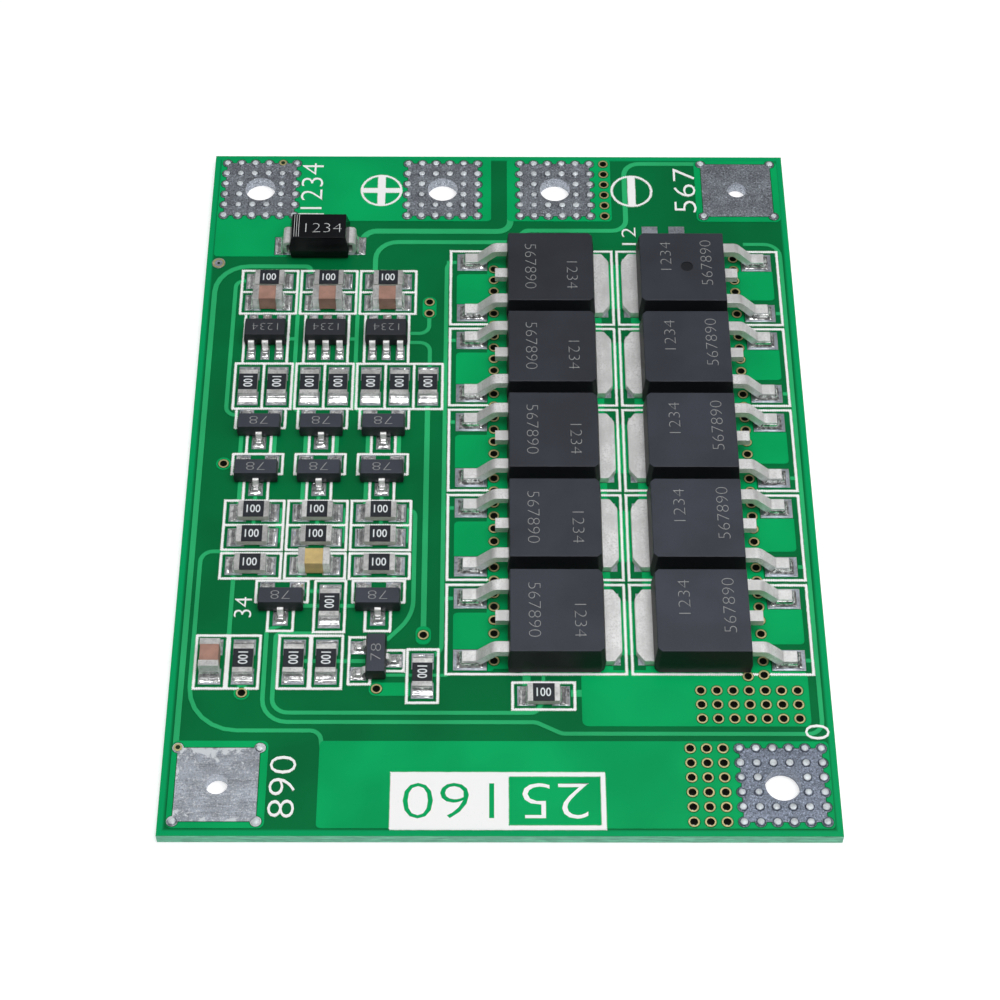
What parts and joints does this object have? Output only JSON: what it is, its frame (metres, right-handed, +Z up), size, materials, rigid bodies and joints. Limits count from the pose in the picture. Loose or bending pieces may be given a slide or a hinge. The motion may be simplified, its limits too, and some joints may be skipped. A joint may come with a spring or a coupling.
{
  "type": "battery management board",
  "caption": "Flat rectangular circuit board that guards cells in series: tab-mounted power transistors in two columns, small parts and large tinned wire pads with plated holes.",
  "frame": {"origin": "centre of the board's underside", "axes": "+X across the board towards the power transistors, +Y along the board towards the pack pads, +Z up out of the side with the parts"},
  "size_m": [0.041, 0.055, 0.0032],
  "materials": {
    "laminate": "glossy solder mask over glass-epoxy laminate",
    "masked_copper": "glossy solder mask over copper",
    "masked_track": "glossy solder mask thin over copper tracks",
    "tin": "satin tin over copper",
    "via_metal": "satin plated rings",
    "white_print": "matte print",
    "mould": "matte moulded epoxy",
    "lead_metal": "satin tin-plated copper",
    "ceramic": "matte white ceramic",
    "glaze": "semi-gloss dark glaze",
    "brown_ceramic": "matte brown ceramic",
    "tan_ceramic": "matte tan ceramic",
    "solder": "bright solder"
  },
  "bodies": {
    "root": {"printed_board": "laminate", "copper_sheets": "masked_copper", "copper_tracks": "masked_track", "component_lands": "tin", "plated_vias": "via_metal", "print_marks": "white_print", "battery_plus_pad": "tin", "pack_plus_pad": "tin", "pack_minus_pad": "tin", "cell_one_pad": "tin", "cell_two_pad": "tin", "battery_minus_pad": "tin", "power_transistor_body_1": "mould", "power_transistor_body_2": "mould", "power_transistor_body_3": "mould", "power_transistor_body_4": "mould", "power_transistor_body_5": "mould", "power_transistor_body_6": "mould", "power_transistor_body_7": "mould", "power_transistor_body_8": "mould", "power_transistor_body_9": "mould", "power_transistor_body_10": "mould", "power_transistor_metal_1": "lead_metal", "power_transistor_metal_2": "lead_metal", "power_transistor_metal_3": "lead_metal", "power_transistor_metal_4": "lead_metal", "power_transistor_metal_5": "lead_metal", "power_transistor_metal_6": "lead_metal", "power_transistor_metal_7": "lead_metal", "power_transistor_metal_8": "lead_metal", "power_transistor_metal_9": "lead_metal", "power_transistor_metal_10": "lead_metal", "supervisor_chip_body_1": "mould", "supervisor_chip_body_2": "mould", "supervisor_chip_body_3": "mould", "supervisor_chip_leads_1": "lead_metal", "supervisor_chip_leads_2": "lead_metal", "supervisor_chip_leads_3": "lead_metal", "diode_body": "mould", "diode_leads": "lead_metal", "small_transistor_body_1": "mould", "small_transistor_body_2": "mould", "small_transistor_body_3": "mould", "small_transistor_body_4": "mould", "small_transistor_body_5": "mould", "small_transistor_body_6": "mould", "small_transistor_body_7": "mould", "small_transistor_body_8": "mould", "small_transistor_body_9": "mould", "small_transistor_leads": "lead_metal", "resistor_ceramic": "ceramic", "resistor_glaze": "glaze", "resistor_ends": "tin", "brown_capacitor_bodies": "brown_ceramic", "tan_capacitor_body": "tan_ceramic", "capacitor_ends": "tin", "power_solder": "solder", "small_solder": "solder"}
  },
  "joints": []
}
